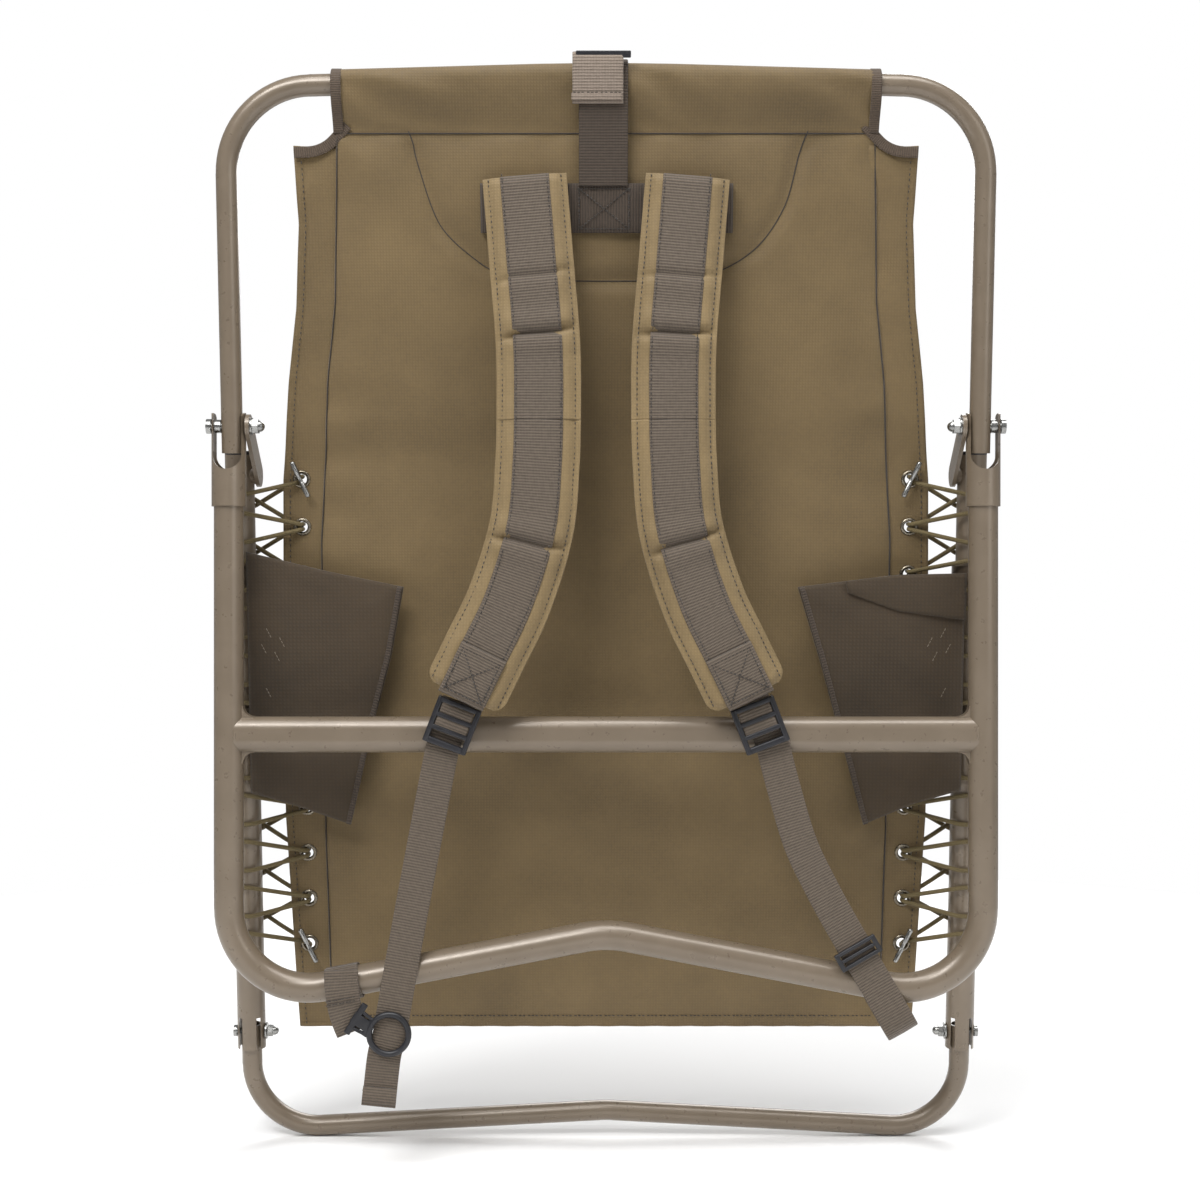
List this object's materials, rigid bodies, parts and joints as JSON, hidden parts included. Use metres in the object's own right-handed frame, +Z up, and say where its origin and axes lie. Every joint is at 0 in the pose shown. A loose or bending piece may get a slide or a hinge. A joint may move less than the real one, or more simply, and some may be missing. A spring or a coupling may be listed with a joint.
{
  "type": "folding hunting lounger",
  "caption": "Folding low hunting chair with a laced padded back, rear prop frame, head and foot loops, folded seat pad and backpack straps.",
  "frame": {"origin": "middle of the footprint at the lowest point of the foot loop, folded and upright", "axes": "+X to the right seen from behind, +Y towards the sitter's side, +Z up"},
  "size_m": [0.5988, 0.1764, 0.8292],
  "materials": {
    "frame_paint": "satin powder coat",
    "quilt_fabric": "coated polyester canvas",
    "webbing": "ribbed woven webbing",
    "pocket_fabric": "matt dark pocket cloth",
    "black_plastic": "moulded, fine grain",
    "zinc": "zinc plated",
    "elastic_cord": "braided sheath"
  },
  "bodies": {
    "back_frame": {"back_rails": "frame_paint", "rail_plugs": "black_plastic", "pivot_bolts": "zinc", "pivot_spacers": "zinc", "pivot_washers": "zinc", "pivot_nuts": "zinc", "foot_bolts": "zinc", "foot_washers": "zinc", "foot_nuts": "zinc", "back_panel": "quilt_fabric", "eyelets": "zinc", "lacing_left_down": "elastic_cord", "lacing_left_up": "elastic_cord", "lacing_right_down": "elastic_cord", "lacing_right_up": "elastic_cord", "toggle_pins": "zinc", "pocket_left": "pocket_fabric", "pocket_right": "pocket_fabric"},
    "rear_frame": {"rear_tube": "frame_paint", "fork_sleeves": "frame_paint", "shoulder_pads_lower": "quilt_fabric", "ladder_locks": "black_plastic", "webbing_left": "webbing", "webbing_right": "webbing", "hook_loop": "webbing", "strap_hook": "black_plastic", "triglide": "black_plastic"},
    "head_loop": {"head_tube": "frame_paint", "head_panel": "quilt_fabric", "anchor_band": "webbing", "shoulder_pads_upper": "quilt_fabric", "carry_handle": "webbing", "handle_buckle": "black_plastic"},
    "foot_loop": {"foot_tube": "frame_paint"},
    "seat": {"seat_pad": "quilt_fabric", "seat_hinge_web": "webbing"}
  },
  "joints": [
    {"name": "rear_frame_hinge", "type": "hinge", "parent": "back_frame", "child": "rear_frame", "pos_m": [0, -0.04047, 0.56018], "axis": [-1, 0, 0], "range_deg": [0, 50]},
    {"name": "head_loop_hinge", "type": "hinge", "parent": "back_frame", "child": "head_loop", "pos_m": [0, -0.04047, 0.56018], "axis": [-1, 0, 0], "range_deg": [0, 25]},
    {"name": "foot_loop_hinge", "type": "hinge", "parent": "back_frame", "child": "foot_loop", "pos_m": [0, 0.04826, 0.08599], "axis": [1, 0, 0], "range_deg": [0, 45]},
    {"name": "seat_hinge", "type": "hinge", "parent": "back_frame", "child": "seat", "pos_m": [0, 0.05639, 0.08989], "axis": [-1, 0, 0], "range_deg": [0, 95]}
  ]
}
